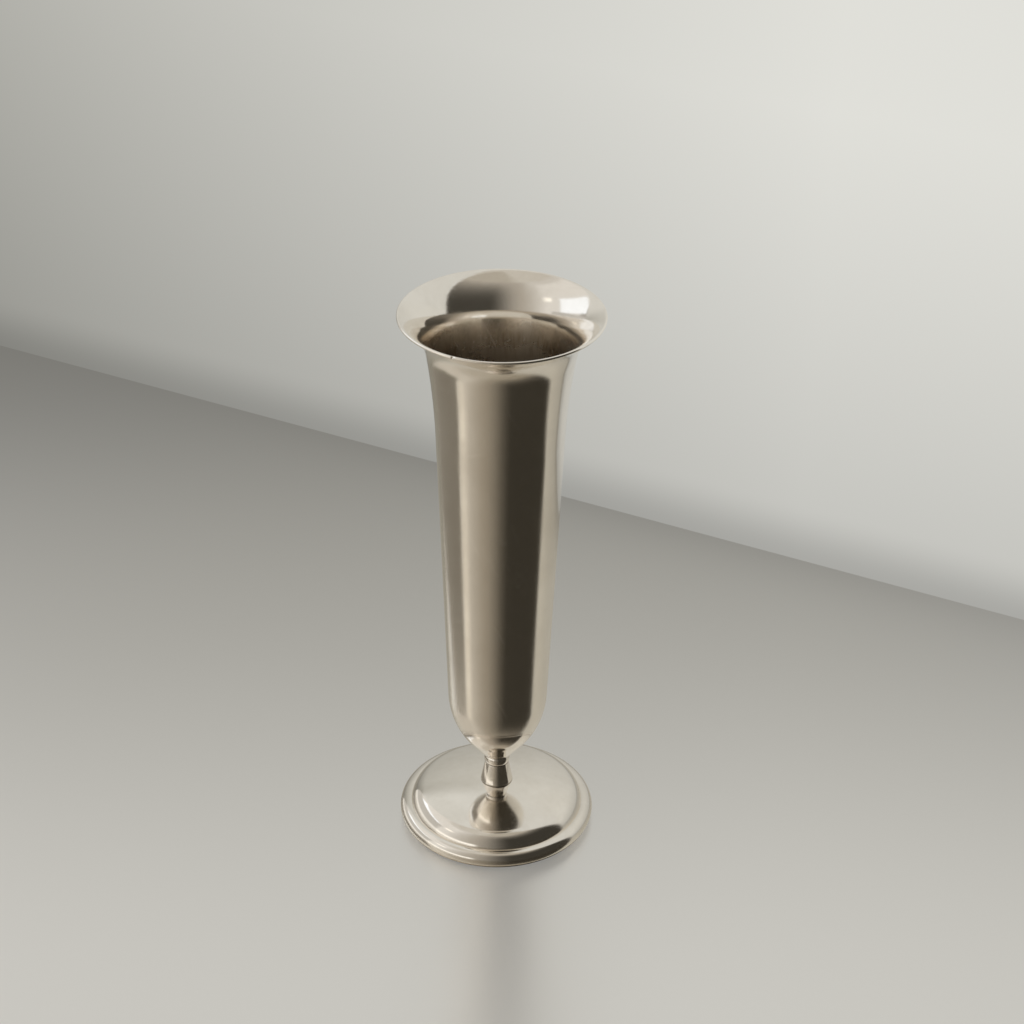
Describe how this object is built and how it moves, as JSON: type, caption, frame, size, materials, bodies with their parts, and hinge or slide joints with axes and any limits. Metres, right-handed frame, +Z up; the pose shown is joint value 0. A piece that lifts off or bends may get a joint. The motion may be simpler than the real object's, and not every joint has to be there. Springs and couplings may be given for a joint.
{
  "type": "trumpet vase",
  "caption": "Slender footed vase with a tapering tube, flared round mouth, beaded neck, tapered knop and domed foot with a half-round rim, for holding cut flower stems.",
  "frame": {"origin": "on the vase's axis, at the surface that it stands on, which is the underside of the felt pad", "axes": "+Z up along the axis of the vase, towards the mouth; the vase is round, so +X and +Y are any two directions across it"},
  "size_m": [0.055, 0.055, 0.16],
  "materials": {
    "silver_plate": "polished silver plate over brass, warm and lightly scratched",
    "fixing_brass": "turned brass",
    "fixing_steel": "bright zinc-plated steel",
    "cast_weight": "rough casting",
    "plate_steel": "tinned sheet",
    "felt": "dark green felt"
  },
  "bodies": {
    "root": {"trumpet_body": "silver_plate", "neck_ring": "silver_plate", "knop": "silver_plate", "foot": "silver_plate", "centre_stud": "fixing_brass", "washer": "fixing_steel", "nut": "fixing_steel", "foot_weight": "cast_weight", "base_plate": "plate_steel", "felt_pad": "felt"}
  },
  "joints": []
}
